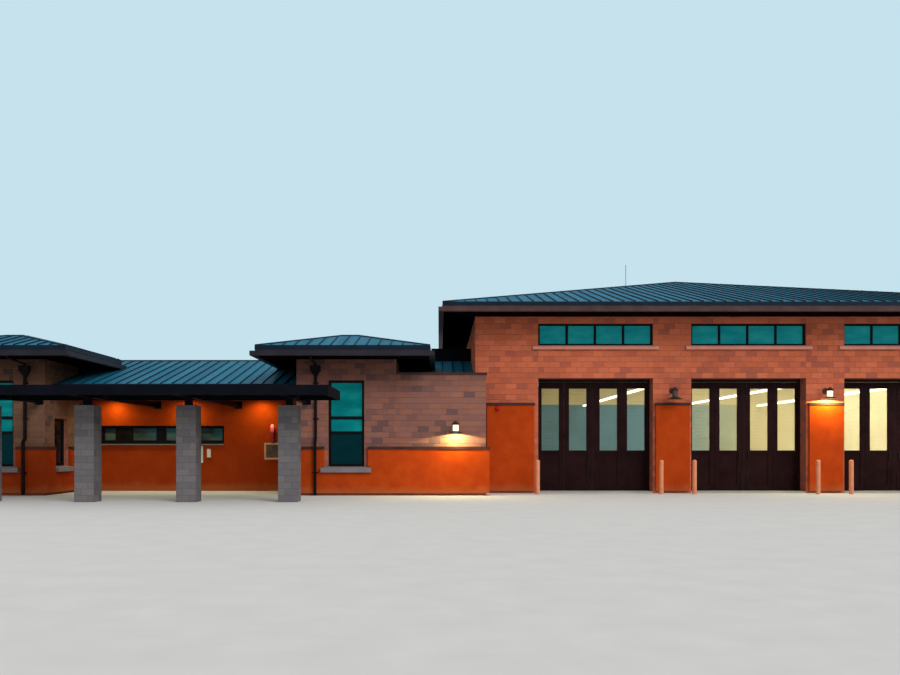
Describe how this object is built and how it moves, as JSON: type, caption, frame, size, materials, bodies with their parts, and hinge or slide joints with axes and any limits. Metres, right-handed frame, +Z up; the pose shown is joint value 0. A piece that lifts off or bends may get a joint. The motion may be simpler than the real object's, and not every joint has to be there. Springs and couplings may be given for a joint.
{
  "type": "fire station building, 1:2 scale model",
  "caption": "One-storey fire station at half size: a three-bay apparatus hall under a square hip roof, with low crew quarters, two entry towers and a steel porch canopy.",
  "frame": {"origin": "on the ground under the peak of the square apparatus hall, at the mount ground", "axes": "+X to the right along the street front, +Z up; the bay doors face -Y"},
  "size_m": [20.9195, 14.271, 5.3],
  "materials": {
    "block": "split-face concrete block",
    "column_block": "smooth concrete block",
    "stucco": "trowelled stucco",
    "slab": "cast concrete",
    "sill": "precast concrete",
    "roof": "satin standing-seam sheet",
    "eaves": "satin",
    "frame": "satin",
    "door": "satin",
    "steel": "satin",
    "ceiling": "matt paint",
    "glass": "clear tinted",
    "lamp": "satin",
    "bollard": "gloss paint",
    "red": "gloss red",
    "lens": "frosted"
  },
  "bodies": {
    "root": {"hall_floor": "slab", "hall_front_wall": "block", "hall_rear_wall": "block", "hall_side_walls": "block", "hall_ceiling": "ceiling", "pilaster_panels": "stucco", "clerestory_frames": "frame", "bay_door_frames": "steel", "bay_door_left": "door", "bay_door_middle": "door", "bay_door_right": "door", "bay_door_glass": "glass", "bay_door_hinges": "steel", "hall_eaves": "eaves", "hall_gutter": "eaves", "hall_roof": "roof", "hall_hip_caps": "roof", "tower_walls": "block", "tower_eaves": "eaves", "tower_gutters": "eaves", "tower_roofs": "roof", "tower_hip_caps": "roof", "low_wall": "block", "low_wall_coping": "eaves", "wainscot": "stucco", "entry_wall": "stucco", "quarters_walls": "block", "quarters_floor": "slab", "quarters_roof": "roof", "quarters_eaves": "eaves", "quarters_gutters": "eaves", "equipment_screen": "eaves", "window_frames": "frame", "window_glass": "glass", "window_sills": "sill", "canopy_columns": "column_block", "canopy_posts": "steel", "canopy_beams": "steel", "canopy_purlins": "steel", "canopy_deck": "steel", "canopy_fascia": "eaves", "wall_lamps": "lamp", "lamp_glass": "lens", "hall_fascia": "eaves", "tower_fascias": "eaves", "quarters_fascias": "eaves", "bollards": "bollard", "roof_mast": "steel", "stucco_caps": "frame", "quarters_ridge_cap": "roof", "entry_door_frame": "frame", "entry_door": "frame", "tower_downspouts": "frame", "alarm_bell": "red", "beacon": "red", "plaque": "frame", "soffit_downlights": "lens", "strip_lights": "lens"}
  },
  "joints": []
}
